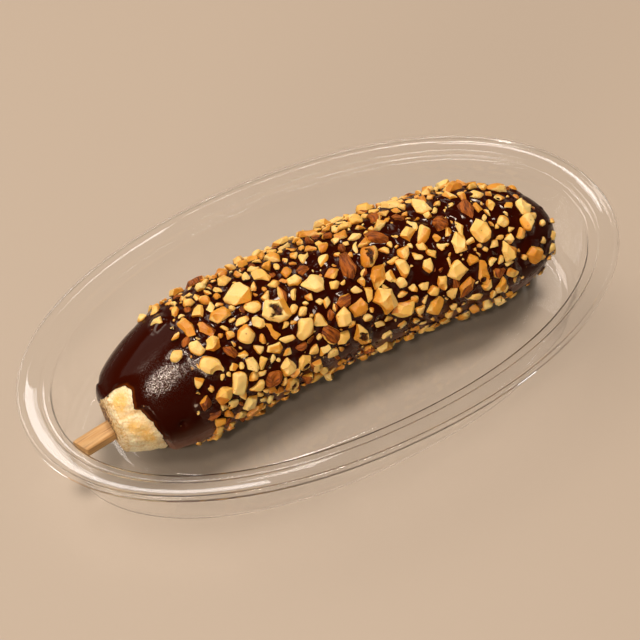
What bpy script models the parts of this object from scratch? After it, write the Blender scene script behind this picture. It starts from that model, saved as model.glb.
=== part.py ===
"""Chocolate dipped banana on a stick, rolled in chopped nuts, lying in a clear oval dish.

Units are metres. +X runs along the dish, from the stick end to the banana's tip,
+Z is up, and the origin is the centre of the dish's base on the table.
"""
import math
import random

import bmesh
import bpy
from mathutils import Matrix, Vector

# Dish: a thin clear oval boat with a stepped rim
DISH_LENGTH = 0.216
DISH_WIDTH = 0.1222
DISH_HEIGHT = 0.0350
DISH_WALL = 0.0008
OVAL_POWER = 2.12
DISH_SIDES = 60
LIP_WIDTH = 0.0022
LIP_RISE = 0.0012
FLANGE_WIDTH = 0.0048
LEDGE_DROP = 0.0017
LEDGE_WIDTH = 0.0030
WALL_DRAFT = 0.0006
BASE_ROUND = 0.0042
RING_WIDTH = 0.0085
PANEL_RISE = 0.0020
PANEL_SLOPE = 0.0018
END_EASE = 0.25

# Banana: its middle line bows a little in plan and sags at both ends
CUT_X = -0.0803
TIP_X = 0.0880
BOW_PEAK_X = 0.002
BOW_PEAK_Y = 0.0054
BOW = 0.90
SAG_PEAK_X = 0.010
SAG_PEAK_Z = 0.0272
SAG = 0.55

# Girth of the coated banana, with a rounded shoulder at each end
BELLY_RADIUS = 0.0227
TAPER = 0.008
SHOULDER_LEFT_X = -0.050
SHOULDER_RIGHT_X = 0.045
LEFT_REACH = 0.0375
LEFT_POWER = 1.8
RIGHT_POWER = 2.6

# Coat: its open end is cut on a slant, which leaves the flesh bare in front
COAT_BELLY = 0.0024
COAT_CUT_END = 0.0010
COAT_TIP = 0.0026
COAT_LIP = 0.0004
COAT_LIP_REACH = 0.0020
CLEARANCE = 0.0003
REST_HEIGHT = DISH_WALL + PANEL_RISE + CLEARANCE
BARE_REACH = 0.0132
STRAIGHT_X = -0.056
SIDES = 32
OUTER_RINGS = 16
INNER_RINGS = 9
OUTER_SHARES = (0.28, 0.52, 0.74, 0.90, 1.0)
LINING_SHARES = (1.0, 0.84, 0.62, 0.34)
BARE_SHARES = (0.5,)
FLESH_LIP = 0.0008

# Flesh: three lobes with soft seams at the cut end, given by angle round the banana
SEAM_ANGLES = (20.0, 75.0, 132.0, 192.0, 262.0)
SEAM_WIDTH = 15.0
SEAM_DEPTH = 0.055
FACE_BULGE = 0.0022
FACE_RINGS = 4

# Stick: a flat wooden bar with a split along one edge
STICK_WIDTH = 0.0060
STICK_THICKNESS = 0.0040
STICK_LENGTH = 0.058
STICK_TIP = Vector((-0.0938, -0.0055, 0.0208))
STICK_YAW = math.radians(9.5)
STICK_SLANT = 0.33
SPLIT_WIDTH = 0.0005
SPLIT_DEPTH = 0.0009
SPLIT_LENGTH = 0.0125

# Chopped nuts: the largest pieces where they lie, then the rest by a seeded rule
NUT_SEED = 11
NUT_FIRST_X = -0.046
NUT_LAST_X = 0.082
NUT_TRIES = 5000
NUT_LIMIT = 122
NUT_SINK = 0.0012
# along the banana (mm), angle round it (degrees), length, width (mm), turn (degrees)
LARGE_NUTS = (
    (-38, 36, 10.4, 7.7, 103), (-45, 36, 7.3, 6.2, 103), (-51, 92, 9.6, 4.1, 82),
    (-51, 112, 6.2, 4.8, 49), (-49, 130, 12.0, 5.6, 53), (-43, 153, 9.0, 6.0, 115),
    (-31, 90, 9.6, 8.7, 160), (-40, 98, 7.1, 6.3, 20), (-46, 102, 8.0, 4.2, 63),
    (-29, 104, 6.5, 4.8, 18), (-23, 116, 10.3, 8.8, 147), (-42, 127, 5.5, 4.0, 68),
    (-35, 121, 6.1, 5.6, 132), (-17, 138, 7.8, 6.3, 139), (-8, 110, 8.8, 6.5, 30),
    (5, 107, 9.7, 6.1, 104), (13, 107, 8.8, 6.5, 123), (13, 124, 9.0, 4.4, 125),
    (12, 146, 9.8, 8.2, 134), (3, 142, 6.5, 6.1, 4), (-3, 144, 6.4, 6.2, 119),
    (-1, 132, 5.7, 4.6, 175), (-9, 151, 8.8, 5.4, 51), (2, 166, 10.4, 6.5, 76),
    (10, 38, 9.6, 5.8, 109), (26, 38, 8.5, 5.8, 112), (32, 60, 8.1, 5.8, 63),
    (39, 77, 8.5, 7.3, 78), (40, 48, 9.2, 3.5, 91), (19, 94, 9.3, 5.4, 38),
    (34, 105, 9.2, 5.1, 136), (55, 62, 10.8, 5.4, 141), (59, 82, 7.4, 3.8, 45),
    (69, 75, 8.3, 4.6, 11), (52, 96, 7.7, 5.8, 101), (41, 101, 5.7, 5.4, 46),
    (53, 118, 8.9, 6.9, 84), (40, 143, 7.2, 6.2, 56), (49, 153, 9.5, 5.0, 103),
    (42, 162, 9.0, 5.0, 135), (55, 173, 7.7, 5.0, 106), (71, 120, 7.7, 5.8, 115),
    (60, 142, 8.1, 5.4, 85), (30, 169, 7.4, 5.8, 118), (18, 158, 8.5, 5.8, 14),
    (-25, 184, 8.5, 5.0, 90), (-26, 210, 8.8, 3.8, 73), (-40, 210, 10.0, 3.8, 78),
)


def smooth(low, high, value):
    """Return a soft step from 0 at low to 1 at high."""
    t = min(max((value - low) / (high - low), 0.0), 1.0)
    return t * t * (3.0 - 2.0 * t)


def middle(x):
    """Return the point of the banana's middle line at x."""
    y = BOW_PEAK_Y - BOW * (x - BOW_PEAK_X) ** 2
    z = SAG_PEAK_Z - SAG * (x - SAG_PEAK_X) ** 2
    return Vector((x, y, z))


def left_girth(x):
    """Return the coated radius at x, before the tip's rounding."""
    t = min(max((SHOULDER_LEFT_X - x) / LEFT_REACH, 0.0), 1.0)
    full = BELLY_RADIUS - TAPER * max(0.0, x - SHOULDER_LEFT_X)
    return full * math.sqrt(1.0 - t ** LEFT_POWER)


def tip_rounding(x, tip_x):
    """Return the factor that closes a surface at tip_x."""
    t = min(max((x - SHOULDER_RIGHT_X) / (tip_x - SHOULDER_RIGHT_X), 0.0), 1.0)
    return math.sqrt(max(0.0, 1.0 - t ** RIGHT_POWER))


def coat_radius(x):
    """Return the outer radius of the chocolate."""
    return left_girth(x) * tip_rounding(x, TIP_X)


def seam_factor(x, angle):
    """Return how far the seams between the lobes draw the flesh in."""
    groove = 0.0
    for seam in SEAM_ANGLES:
        away = (math.degrees(angle) - seam + 180.0) % 360.0 - 180.0
        groove += math.exp(-(away / SEAM_WIDTH) ** 2)
    fade = 1.0 - smooth(-0.070, -0.058, x)
    return 1.0 - SEAM_DEPTH * groove * fade


def flesh_radius(x, angle, gap=0.0):
    """Return the radius of the flesh, or of the coat's lining with a gap."""
    coat = COAT_CUT_END + (COAT_BELLY - COAT_CUT_END) * smooth(-0.076, -0.058, x)
    girth = (left_girth(x) - coat) * seam_factor(x, angle) + gap
    return girth * tip_rounding(x, TIP_X - COAT_TIP + gap)


def place(x, angle, radius):
    """Return the point at an angle round the banana: 0 is +Y, 90 degrees is up."""
    return middle(x) + Vector((0.0, radius * math.cos(angle), radius * math.sin(angle)))


def coat_edge(angle):
    """Return where the chocolate stops at this angle round the banana."""
    degrees = math.degrees(angle) % 360.0
    rise = smooth(86.0, 101.0, degrees)
    deepen = 0.55 + 0.45 * smooth(100.0, 200.0, degrees)
    close = 1.0 - smooth(255.0, 335.0, degrees)
    return CUT_X - 0.0002 + BARE_REACH * rise * deepen * close


def angles(sides):
    """Return evenly spaced angles round the banana."""
    return [2.0 * math.pi * side / sides for side in range(sides)]


def skin(bm, rings):
    """Join rings of equal length, or single points at the ends, into a closed skin."""
    for first, second in zip(rings, rings[1:]):
        count = max(len(first), len(second))
        for side in range(count):
            after = (side + 1) % count
            corners = [first[side % len(first)], first[after % len(first)],
                       second[after % len(second)], second[side % len(second)]]
            corners = list(dict.fromkeys(corners))
            bm.faces.new(corners)


def add_object(name, bm, material, flat_angle=35.0):
    """Turn a mesh into a named object with outward faces and its own material."""
    bmesh.ops.recalc_face_normals(bm, faces=bm.faces)
    mesh = bpy.data.meshes.new(name)
    bm.to_mesh(mesh)
    bm.free()
    mesh.shade_smooth()
    mesh.set_sharp_from_angle(angle=math.radians(flat_angle))
    item = bpy.data.objects.new(name, mesh)
    bpy.context.scene.collection.objects.link(item)
    item.data.materials.append(material)
    return item


def add_material(name, color, roughness, transmission=0.0):
    """Return a Principled material."""
    material = bpy.data.materials.new(name)
    material.use_nodes = True
    shader = material.node_tree.nodes["Principled BSDF"]
    shader.inputs["Base Color"].default_value = (*color, 1.0)
    shader.inputs["Roughness"].default_value = roughness
    shader.inputs["Metallic"].default_value = 0.0
    shader.inputs["Transmission Weight"].default_value = transmission
    return material


def arc(centre, radius, start, end, steps):
    """Return points on an arc in the dish's section, angles in degrees."""
    points = []
    for step in range(steps + 1):
        angle = math.radians(start + (end - start) * step / steps)
        points.append((centre[0] - radius * math.cos(angle), centre[1] + radius * math.sin(angle)))
    return points


def dish_section():
    """Return the dish's upper side as (inset from the rim, height), rim to panel."""
    rim = DISH_HEIGHT - LIP_RISE
    ledge = rim - LEDGE_DROP
    wall_top = LIP_WIDTH + FLANGE_WIDTH + LEDGE_WIDTH + 0.0006
    wall_foot = wall_top + WALL_DRAFT
    corner = wall_foot + BASE_ROUND
    ring_end = corner + RING_WIDTH
    points = [(0.0, rim - 0.0006), (0.0003, DISH_HEIGHT - 0.0003), (0.0010, DISH_HEIGHT)]
    points += [(LIP_WIDTH, rim), (LIP_WIDTH + FLANGE_WIDTH, rim - 0.0003)]
    points += [(LIP_WIDTH + FLANGE_WIDTH + 0.0006, ledge), (wall_top - 0.0007, ledge - 0.0002)]
    points += [(wall_top, ledge - 0.0010)]
    points += arc((corner, DISH_WALL + BASE_ROUND), BASE_ROUND, 0.0, -90.0, 3)
    panel = ring_end + PANEL_SLOPE
    points += [(ring_end, DISH_WALL), (panel, DISH_WALL + PANEL_RISE)]
    points += [(panel + 0.0030, DISH_WALL + PANEL_RISE)]
    return points


def thicken(points, wall):
    """Return the section's under side, a wall thickness away."""
    under = []
    for index, point in enumerate(points):
        before = points[max(index - 1, 0)]
        after = points[min(index + 1, len(points) - 1)]
        along = Vector((after[0] - before[0], after[1] - before[1])).normalized()
        first = Vector((point[0] - before[0], point[1] - before[1]))
        last = Vector((after[0] - point[0], after[1] - point[1]))
        turn = 1.0
        if first.length > 0.0 and last.length > 0.0:
            turn = max(0.5, math.sqrt((1.0 + first.normalized().dot(last.normalized())) / 2.0))
        out = Vector((along[1], -along[0]))
        under.append((point[0] + out[0] * wall / turn, point[1] + out[1] * wall / turn))
    return under


def oval_ring(bm, inset, height):
    """Add one oval loop of the dish, a little shorter where the base rounds in."""
    wall_foot = LIP_WIDTH + FLANGE_WIDTH + LEDGE_WIDTH + WALL_DRAFT
    half_length = DISH_LENGTH / 2.0 - inset - END_EASE * max(0.0, inset - wall_foot - DISH_WALL)
    half_width = DISH_WIDTH / 2.0 - inset
    ring = []
    for angle in angles(DISH_SIDES):
        across, along = math.sin(angle), math.cos(angle)
        x = math.copysign(abs(along) ** (2.0 / OVAL_POWER), along) * half_length
        y = math.copysign(abs(across) ** (2.0 / OVAL_POWER), across) * half_width
        ring.append(bm.verts.new((x, y, height)))
    return ring


def build_dish():
    """Make the clear dish as one thin closed shell."""
    bm = bmesh.new()
    upper = dish_section()
    under = thicken(upper, DISH_WALL)
    base = min(height for inset, height in under)
    rings = [oval_ring(bm, inset, height - base) for inset, height in reversed(under)]
    rings += [oval_ring(bm, inset, height) for inset, height in upper]
    skin(bm, rings)
    bm.faces.new(rings[0])
    bm.faces.new(rings[-1])
    return add_object("dish", bm, add_material("clear_plastic", (0.93, 0.92, 0.92), 0.04, 1.0))


def stick_matrix():
    """Return the stick's frame: its x axis runs from the free end into the banana."""
    return Matrix.Translation(STICK_TIP) @ Matrix.Rotation(STICK_YAW, 4, "Z")


def stick_block(bm, grow, back, slant):
    """Add a block of the stick's section, grown all round, from a slanted end at back."""
    corners = []
    for y in (-STICK_WIDTH / 2.0 - grow, STICK_WIDTH / 2.0 + grow):
        for x in (back - slant * y, STICK_LENGTH + grow):
            for z in (-STICK_THICKNESS / 2.0 - grow, STICK_THICKNESS / 2.0 + grow):
                corners.append(bm.verts.new((x, y, z)))
    bmesh.ops.convex_hull(bm, input=corners)
    bmesh.ops.dissolve_limit(bm, angle_limit=math.radians(1.0), verts=bm.verts, edges=bm.edges)


def build_stick():
    """Make the wooden stick, with rounded edges and a split along its front edge."""
    bm = bmesh.new()
    stick_block(bm, 0.0, 0.0, STICK_SLANT)
    bmesh.ops.bevel(bm, geom=list(bm.edges), offset=0.0005, segments=2, affect="EDGES", profile=0.5)
    bm.transform(stick_matrix())
    stick = add_object("stick", bm, add_material("stick_wood", (0.80, 0.55, 0.26), 0.6))
    cutter_mesh = bmesh.new()
    start = Vector((-0.001, -STICK_WIDTH * 0.24, STICK_THICKNESS / 2.0))
    end = Vector((SPLIT_LENGTH, -STICK_WIDTH * 0.10, STICK_THICKNESS / 2.0))
    corners = []
    for point in (start, end):
        for side in (-SPLIT_WIDTH / 2.0, SPLIT_WIDTH / 2.0):
            for height in (-SPLIT_DEPTH, SPLIT_DEPTH):
                corners.append(cutter_mesh.verts.new(point + Vector((0.0, side, height))))
    bmesh.ops.convex_hull(cutter_mesh, input=corners)
    cutter_mesh.transform(stick_matrix())
    split = add_object("split_cutter", cutter_mesh, stick.data.materials[0])
    cut(stick, split)
    return stick


def cut(item, cutter):
    """Cut one object with another, which stays as a hidden guide."""
    cutter.hide_render = True
    cutter.display_type = "WIRE"
    boolean = item.modifiers.new("cut", "BOOLEAN")
    boolean.operation = "DIFFERENCE"
    boolean.solver = "EXACT"
    boolean.object = cutter


def build_banana():
    """Make the banana flesh: a domed cut face, lobes and a pocket for the stick."""
    bm = bmesh.new()
    rings = [[bm.verts.new(middle(CUT_X) + Vector((-FACE_BULGE, 0.0, 0.0)))]]
    for step in range(1, FACE_RINGS + 1):
        lean = math.pi / 2.0 * step / FACE_RINGS
        back = FACE_BULGE * math.cos(lean) ** 0.8
        ring = []
        for angle in angles(SIDES):
            point = place(CUT_X, angle, flesh_radius(CUT_X, angle) * math.sin(lean))
            ring.append(bm.verts.new(point - Vector((back, 0.0, 0.0))))
        rings.append(ring)
    rings += [bare_ring(bm, share) for share in BARE_SHARES]
    rings += [slanted_ring(bm, share, 0.0) for share in LINING_SHARES]
    rings += [level_ring(bm, x, 0.0) for x in reversed(stations(INNER_RINGS, TIP_X - COAT_TIP))]
    rings.append([bm.verts.new(middle(TIP_X - COAT_TIP))])
    skin(bm, rings)
    banana = add_object("banana", bm, add_material("banana_flesh", (0.86, 0.70, 0.42), 0.6), 60.0)
    pocket = bmesh.new()
    stick_block(pocket, CLEARANCE, -0.004, 0.0)
    pocket.transform(stick_matrix())
    cut(banana, add_object("pocket_cutter", pocket, banana.data.materials[0]))
    return banana


def stations(count, tip):
    """Return places along the banana from near its tip back to the left shoulder."""
    places = []
    for step in range(1, count + 1):
        t = step / count
        ease = 0.25 * t + 0.75 * (1.0 - math.cos(math.pi / 2.0 * t))
        places.append(tip - (tip - STRAIGHT_X) * ease)
    return places


def level_ring(bm, x, gap):
    """Add a ring of the flesh at x, or of the coat's lining with a gap."""
    return [bm.verts.new(place(x, angle, flesh_radius(x, angle, gap))) for angle in angles(SIDES)]


def slanted_ring(bm, share, gap):
    """Add a ring of the flesh or the lining between the left shoulder and the coat's edge."""
    ring = []
    for angle in angles(SIDES):
        edge = coat_edge(angle)
        if gap == 0.0:
            edge = max(edge, CUT_X + FLESH_LIP)
        x = STRAIGHT_X + (edge - STRAIGHT_X) * share
        ring.append(bm.verts.new(place(x, angle, flesh_radius(x, angle, gap))))
    return ring


def bare_ring(bm, share):
    """Add a ring of the flesh between the cut end and the coat's edge."""
    ring = []
    for angle in angles(SIDES):
        edge = max(coat_edge(angle), CUT_X + FLESH_LIP)
        x = CUT_X + (edge - CUT_X) * share
        ring.append(bm.verts.new(place(x, angle, flesh_radius(x, angle))))
    return ring


def outside(x, angle, radius):
    """Return a point of the coat's outside, flattened where it rests on the dish."""
    point = place(x, angle, radius)
    point.z = max(point.z, REST_HEIGHT)
    return point


def outer_ring(bm, share):
    """Add a ring of the coat's outside, which thins towards its slanted edge."""
    ring = []
    for angle in angles(SIDES):
        edge = coat_edge(angle)
        x = STRAIGHT_X + (edge - STRAIGHT_X) * share
        thin = flesh_radius(x, angle, CLEARANCE) + COAT_LIP
        radius = thin + (coat_radius(x) - thin) * smooth(edge, edge + COAT_LIP_REACH, x)
        ring.append(bm.verts.new(outside(x, angle, radius)))
    return ring


def build_coat():
    """Make the chocolate coat as a cup, with the chopped nuts fused on."""
    bm = bmesh.new()
    outer = [[bm.verts.new(middle(TIP_X))]]
    for x in stations(OUTER_RINGS, TIP_X):
        outer.append([bm.verts.new(outside(x, angle, coat_radius(x))) for angle in angles(SIDES)])
    outer += [outer_ring(bm, share) for share in OUTER_SHARES]
    lining = [slanted_ring(bm, share, CLEARANCE) for share in LINING_SHARES]
    places = reversed(stations(INNER_RINGS, TIP_X - COAT_TIP))
    lining += [level_ring(bm, x, CLEARANCE) for x in places]
    lining.append([bm.verts.new(middle(TIP_X - COAT_TIP + CLEARANCE))])
    skin(bm, outer + lining)
    coat = add_object("chocolate_coat", bm, add_material("chocolate", (0.035, 0.012, 0.008), 0.2), 50.0)
    fuse_nuts(coat)
    return coat


def nut_layout():
    """Return the nuts' places and sizes: the largest first, then a seeded scatter."""
    draw = random.Random(NUT_SEED)
    nuts = []
    for along, degrees, length, width, turn in LARGE_NUTS:
        nuts.append((along / 1000.0, math.radians(degrees), length / 1000.0, width / 1000.0,
                     math.radians(turn)))
    for attempt in range(NUT_TRIES):
        if len(nuts) >= NUT_LIMIT + len(LARGE_NUTS):
            break
        x = NUT_FIRST_X + (NUT_LAST_X - NUT_FIRST_X) * draw.random()
        angle = 2.0 * math.pi * draw.random()
        length = 0.0055 + 0.0038 * (1.0 - attempt / NUT_TRIES) * draw.random()
        width = length * (0.62 + 0.33 * draw.random())
        turn = math.pi * draw.random()
        nut = (x, angle, length, width, turn)
        if all(nut_distance(nut, other) > 0.54 for other in nuts):
            nuts.append(nut)
    return nuts


def nut_distance(first, second):
    """Return the distance between two nuts as a share of their lengths' sum."""
    reach = coat_radius((first[0] + second[0]) / 2.0)
    round_away = (first[1] - second[1] + math.pi) % (2.0 * math.pi) - math.pi
    gap = math.hypot(first[0] - second[0], round_away * reach)
    return gap / (first[2] + second[2])


def nut_points(nut, index):
    """Return the corner points of one chopped chunk, in the part's frame."""
    x, angle, length, width, turn = nut
    draw = random.Random(NUT_SEED * 1000 + index)
    radius = coat_radius(x)
    ahead = place(x + 0.001, angle, coat_radius(x + 0.001)) - place(x - 0.001, angle, coat_radius(x - 0.001))
    ahead.normalize()
    around = Vector((0.0, -math.sin(angle), math.cos(angle)))
    outward = ahead.cross(around)
    if outward.dot(Vector((0.0, math.cos(angle), math.sin(angle)))) < 0.0:
        outward = -outward
    long_way = ahead * math.cos(turn) + around * math.sin(turn)
    wide_way = outward.cross(long_way)
    height = min(0.0036, 0.55 * width) * (0.8 + 0.4 * draw.random())
    base = place(x, angle, radius)
    points = []
    for level, size, corners in ((-NUT_SINK, 0.80, 3), (0.42 * height, 1.0, 5), (height, 0.66, 4)):
        start = 2.0 * math.pi * draw.random()
        for corner in range(corners):
            way = start + 2.0 * math.pi * (corner + 0.5 * draw.random()) / corners
            reach = size * (0.98 + 0.22 * draw.random())
            lift = level + 0.12 * height * (draw.random() - 0.5) * (level > 0.0)
            point = base + long_way * (0.5 * length * reach * math.cos(way))
            point += wide_way * (0.5 * width * reach * math.sin(way)) + outward * lift
            points.append(point)
    return points


def fuse_nuts(coat):
    """Join the chopped nuts to the coat with one Boolean union and apply it."""
    chunks = bpy.data.collections.new("nut_chunks")
    bpy.context.scene.collection.children.link(chunks)
    for index, nut in enumerate(nut_layout()):
        bm = bmesh.new()
        corners = []
        for point in nut_points(nut, index):
            point.z = max(point.z, REST_HEIGHT)
            corners.append(bm.verts.new(point))
        hull = bmesh.ops.convex_hull(bm, input=corners)
        inside = [item for item in hull["geom_interior"] if isinstance(item, bmesh.types.BMVert)]
        bmesh.ops.delete(bm, geom=inside, context="VERTS")
        chunk = add_object(f"nut_{index}", bm, coat.data.materials[0])
        bpy.context.scene.collection.objects.unlink(chunk)
        chunks.objects.link(chunk)
    union = coat.modifiers.new("nuts", "BOOLEAN")
    union.operation = "UNION"
    union.operand_type = "COLLECTION"
    union.collection = chunks
    union.solver = "EXACT"
    union.use_self = False
    depsgraph = bpy.context.evaluated_depsgraph_get()
    fused = bpy.data.meshes.new_from_object(coat.evaluated_get(depsgraph))
    coat.modifiers.clear()
    coat.data = fused
    for chunk in list(chunks.objects):
        bpy.data.objects.remove(chunk)
    bpy.data.collections.remove(chunks)


def main():
    """Clear the scene and build the four pieces."""
    for item in list(bpy.data.objects):
        bpy.data.objects.remove(item)
    build_dish()
    build_stick()
    build_banana()
    build_coat()


main()
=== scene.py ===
"""Looks for the chocolate dipped banana on a stick, with chopped nuts, in its clear dish.

Units are metres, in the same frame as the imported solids: +X from the stick end to the
banana's tip, +Z up. Angles round the banana: 0 is +Y, 90 degrees is up, 180 is the front.
"""
import itertools
import math
import random
from collections import namedtuple

import bmesh
import bpy
import numpy as np
from mathutils import Matrix, Vector

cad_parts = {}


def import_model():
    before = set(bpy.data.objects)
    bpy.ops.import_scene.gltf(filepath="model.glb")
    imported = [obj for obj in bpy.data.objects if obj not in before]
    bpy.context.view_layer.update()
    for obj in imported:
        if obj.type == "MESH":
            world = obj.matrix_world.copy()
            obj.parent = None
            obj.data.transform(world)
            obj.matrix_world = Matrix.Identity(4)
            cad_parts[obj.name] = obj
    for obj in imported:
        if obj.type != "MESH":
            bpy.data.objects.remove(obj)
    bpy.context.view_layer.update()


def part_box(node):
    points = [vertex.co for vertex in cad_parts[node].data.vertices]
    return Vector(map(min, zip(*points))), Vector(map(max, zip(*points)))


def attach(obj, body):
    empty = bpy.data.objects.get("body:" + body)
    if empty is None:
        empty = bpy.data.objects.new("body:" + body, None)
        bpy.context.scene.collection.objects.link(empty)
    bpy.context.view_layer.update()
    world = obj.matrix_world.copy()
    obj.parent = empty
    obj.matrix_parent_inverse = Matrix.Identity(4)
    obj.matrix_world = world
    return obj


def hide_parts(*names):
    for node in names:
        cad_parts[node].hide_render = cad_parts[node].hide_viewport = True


# Dish, with the same values as the solid
DISH_LENGTH = 0.216
DISH_WIDTH = 0.1222
DISH_HEIGHT = 0.0350
DISH_WALL = 0.0008
OVAL_POWER = 2.12
DISH_SIDES = 240
LIP_WIDTH = 0.0022
LIP_RISE = 0.0012
FLANGE_WIDTH = 0.0048
LEDGE_DROP = 0.0017
LEDGE_WIDTH = 0.0030
WALL_DRAFT = 0.0006
BASE_ROUND = 0.0042
RING_WIDTH = 0.0085
PANEL_RISE = 0.0020
END_EASE = 0.25

# The thinner shell that is seen, and the folds of its section: steps inward and up (m) from a corner
SHELL_WALL = 0.00032
LIP_ROUND = 0.0010
LEDGE_FOLD = 0.0006
PANEL_FOLD = 0.0001
PANEL_SLOPE = 0.0036
LIP_OFFSETS = ((-0.0008, -0.0002),)
FLANGE_OFFSETS = ((-0.0003, 0.0003), (0.0001, 0.00002), (0.0008, -0.00005))
STEP_OFFSETS = ((-0.0006, -0.00025), (-0.0001, -0.0004), (0.0002, -0.0009))
LEDGE_OFFSETS = ((0.0004, 0.0003), (0.0007, 0.0), (0.0012, -0.00005))
WALL_OFFSETS = ((-0.0008, -0.00015), (-0.0003, -0.0004), (0.0, -0.0010), (0.0001, -0.0020))

# Banana and coat, with the same values as the solids
CUT_X = -0.0803
TIP_X = 0.0880
BOW_PEAK_X = 0.002
BOW_PEAK_Y = 0.0054
BOW = 0.90
SAG_PEAK_X = 0.010
SAG_PEAK_Z = 0.0272
SAG = 0.55
BELLY_RADIUS = 0.0227
TAPER = 0.008
SHOULDER_LEFT_X = -0.050
SHOULDER_RIGHT_X = 0.045
LEFT_REACH = 0.0375
LEFT_POWER = 1.8
RIGHT_POWER = 2.6
COAT_BELLY = 0.0024
COAT_CUT_END = 0.0010
COAT_TIP = 0.0026
COAT_LIP = 0.0004
COAT_LIP_REACH = 0.0020
STRAIGHT_X = -0.056
SEAM_ANGLES = (20.0, 75.0, 132.0, 192.0, 262.0)
SEAM_WIDTH = 15.0
SEAM_DEPTH = 0.055
FACE_BULGE = 0.0022
REST_HEIGHT = 0.0031

# Where the chocolate stops: angle round the banana in degrees, x in millimetres
EDGE_LINE = (
    (-60, -78.5), (-30, -80.5), (0, -80.7), (60, -80.7), (82, -80.6), (87, -80.0), (92, -76.9), (98, -74.8),
    (106, -73.8), (115, -74.0), (123, -74.6), (128, -75.2), (132, -74.0), (140, -72.6), (150, -71.6),
    (166, -70.6), (182, -69.4), (200, -68.6), (213, -67.9), (240, -67.6), (260, -69.0), (280, -73.0),
    (300, -78.5), (330, -80.5),
)

# Where the chocolate stops on the end face: a line this far from its middle, in this direction
WRAP_LINE = 0.0063
WRAP_WAY = math.radians(30.4)

# A small dent in the chocolate
DENT_X = -0.0630
DENT_ANGLE = math.radians(166.0)
DENT_SIZE = 0.0016
DENT_DEPTH = 0.0012

# The meshes of the coat and the flesh: points round them, rows along them, and the coat's rounded lip
COAT_SIDES = 240
CROWDING = 0.42
CROWD_WAY = math.radians(115.0)
EDGE_ROWS = 40
EVEN_ROWS = 336
TIP_CROWN = 0.0015
CROWN_SHARES = (0.72, 0.48, 0.26, 0.10, 0.02)
COAT_LIP_STEPS = ((0.00026, 0.10), (0.00030, 0.45), (0.00018, 0.80))
COAT_MARKS = ("dull_and_painted_sheen", "frost", "thin", "wet")
FLESH_SIDES = 240
FACE_ROWS = 40
FACE_SHARE = 0.998
TIP_ROWS = (0.0815, 0.0842)

# Brown lines on the flesh: angle, width (degrees), and how they drift along it (degrees per metre)
SEAM_LINES = ((132.0, 3.0), (192.0, 3.6), (75.0, 4.0), (20.0, 4.0), (262.0, 4.0))
SEAM_DRIFT = 260.0
# Soft orange spots on the flesh: x (m), angle (degrees), size (m)
SOFT_SPOTS = (
    (-0.078, 108.0, 0.0022), (-0.0795, 116.0, 0.0026), (-0.075, 160.0, 0.0030), (-0.078, 148.0, 0.0018),
    (-0.0735, 176.0, 0.0018),
)

# Stick, with the same values as the solid
STICK_WIDTH = 0.0060
STICK_THICKNESS = 0.0040
STICK_LENGTH = 0.058
STICK_TIP = Vector((-0.0938, -0.0055, 0.0208))
STICK_YAW = math.radians(9.5)
STICK_SLANT = 0.33
STICK_SIDES = 96
STICK_POWER = 9.0
SPLIT_WIDTH = 0.00028
SPLIT_DEPTH = 0.0007
# Where the stick enters the end face
SLOT_Y = -0.0034
SLOT_Z = 0.0208

# Chopped nuts, with the same values and rule as the solid
NUT_SEED = 11
NUT_FIRST_X = -0.046
NUT_LAST_X = 0.082
NUT_TRIES = 5000
NUT_LIMIT = 122
NUT_SINK = 0.0012
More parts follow.
